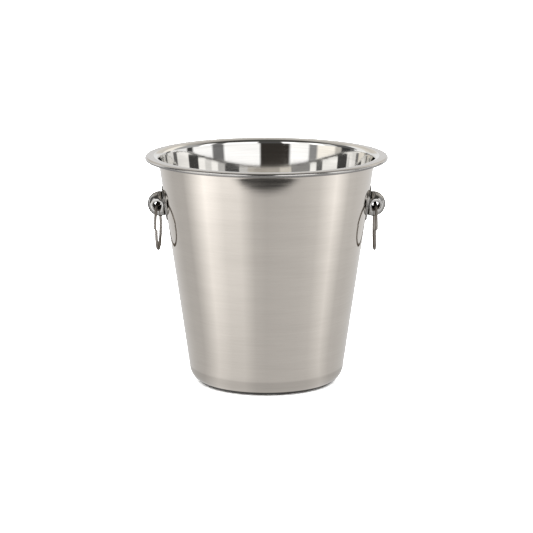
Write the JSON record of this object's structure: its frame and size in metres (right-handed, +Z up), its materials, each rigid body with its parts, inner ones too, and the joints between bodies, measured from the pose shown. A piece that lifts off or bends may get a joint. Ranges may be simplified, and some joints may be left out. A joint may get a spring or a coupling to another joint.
{
  "type": "champagne bucket",
  "caption": "Tapered stainless steel champagne bucket with a rolled flange rim and swinging ring handles on ball knobs.",
  "frame": {"origin": "centre of the base, on the surface the bucket stands on", "axes": "+Z up along the bucket's axis; the two handles are at +X and -X; -Y is the side the rings' wire joints face"},
  "size_m": [0.215, 0.215, 0.204],
  "materials": {
    "satin_steel": "satin, brushed round the bucket outside; mirror polished inside",
    "polished_steel": "mirror polished",
    "ring_steel": "polished wire with fine drawing marks",
    "hardware_steel": "bright turned",
    "seal_rubber": "matt black"
  },
  "bodies": {
    "bucket": {"bucket_shell": "satin_steel", "left_backplate": "polished_steel", "left_knob": "polished_steel", "left_stud": "hardware_steel", "left_seal_washer": "seal_rubber", "left_flat_washer": "hardware_steel", "left_dome_nut": "hardware_steel", "right_backplate": "polished_steel", "right_knob": "polished_steel", "right_stud": "hardware_steel", "right_seal_washer": "seal_rubber", "right_flat_washer": "hardware_steel", "right_dome_nut": "hardware_steel"},
    "left_ring_body": {"left_ring": "ring_steel"},
    "right_ring_body": {"right_ring": "ring_steel"}
  },
  "joints": [
    {"name": "left_ring_swing", "type": "hinge", "parent": "bucket", "child": "left_ring_body", "pos_m": [-0.09634, 0, 0.15991], "axis": [0, 1, 0], "range_deg": [-13.5, 158]},
    {"name": "right_ring_swing", "type": "hinge", "parent": "bucket", "child": "right_ring_body", "pos_m": [0.09634, 0, 0.15991], "axis": [0, -1, 0], "range_deg": [-13.5, 158]}
  ]
}
